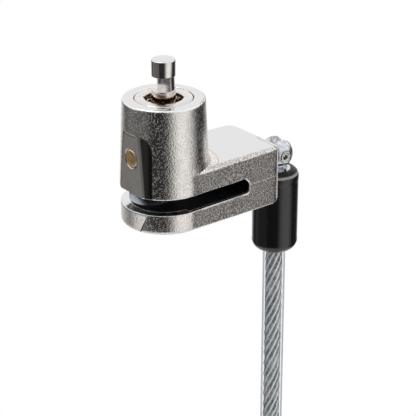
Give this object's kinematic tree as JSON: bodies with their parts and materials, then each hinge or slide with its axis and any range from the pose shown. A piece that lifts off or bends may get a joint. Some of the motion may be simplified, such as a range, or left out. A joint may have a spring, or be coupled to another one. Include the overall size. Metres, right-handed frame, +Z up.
{
  "type": "laptop cable lock",
  "caption": "Keyed barrel lock with a slotted jaw, a turning cam inside the slot, and a swivel that carries a coiled steel cable ending in a loop.",
  "frame": {"origin": "on the barrel's axis, on the floor of the slot between the jaws", "axes": "+Z up along the barrel towards the key, +X along the arm towards the cable's swivel, slot open towards -X and both Y sides"},
  "size_m": [0.0937, 0.1097, 0.1992],
  "materials": {
    "nickel_casting": "satin nickel over a fine cast texture",
    "brass": "turned",
    "black_rubber": "matt",
    "steel": "ground",
    "post_steel": "satin",
    "dark_steel": "bluish satin",
    "black_plastic": "glossy",
    "clear_jacket": "clear jacket over galvanised strands",
    "black_strap": "woven strap",
    "ferrule_aluminium": "pressed"
  },
  "bodies": {
    "housing": {"body": "nickel_casting", "cylinder_case": "nickel_casting", "pin_block": "brass", "retaining_pin": "brass", "slot_pad": "black_rubber", "jaw_cover": "steel", "swivel_dowel": "steel", "pin_springs": "steel"},
    "plug": {"key_plug": "brass", "centre_post": "post_steel", "locking_cam": "steel", "cam_screw": "dark_steel"},
    "key_pins": {"key_pins": "brass"},
    "driver_pins": {"driver_pins": "steel"},
    "fork": {"swivel_fork": "dark_steel", "pivot_pin": "dark_steel"},
    "cable": {"cable_terminal": "dark_steel", "sleeve": "black_plastic", "cable_drop": "clear_jacket", "cable_coil": "clear_jacket", "coil_tie": "black_strap", "cable_tail": "clear_jacket", "cable_loop": "clear_jacket", "loop_ferrule": "ferrule_aluminium"}
  },
  "joints": [
    {"name": "key_turn", "type": "hinge", "parent": "housing", "child": "plug", "pos_m": [0, 0, 0.0136], "axis": [0, 0, 1], "range_deg": [0, 180]},
    {"name": "key_pins_slide", "type": "slide", "parent": "plug", "child": "key_pins", "axis": [0, 0, -1], "range_m": [0, 0.0012], "stiffness_N_per_m": 20, "springref_m": -0.0005},
    {"name": "driver_pins_slide", "type": "slide", "parent": "housing", "child": "driver_pins", "axis": [0, 0, -1], "range_m": [0, 0.0012], "stiffness_N_per_m": 20, "springref_m": -0.0005, "deforming": ["pin_springs"]},
    {"name": "fork_swivel", "type": "hinge", "parent": "housing", "child": "fork", "pos_m": [0.0205, 0, 0.0025], "axis": [1, 0, 0], "continuous": true},
    {"name": "cable_pivot", "type": "hinge", "parent": "fork", "child": "cable", "pos_m": [0.0301, 0, 0.0025], "axis": [0, -1, 0], "range_deg": [-8, 110]}
  ],
  "couplings": [
    {"joint": "driver_pins_slide", "follows": "key_pins_slide", "ratio": 1}
  ]
}
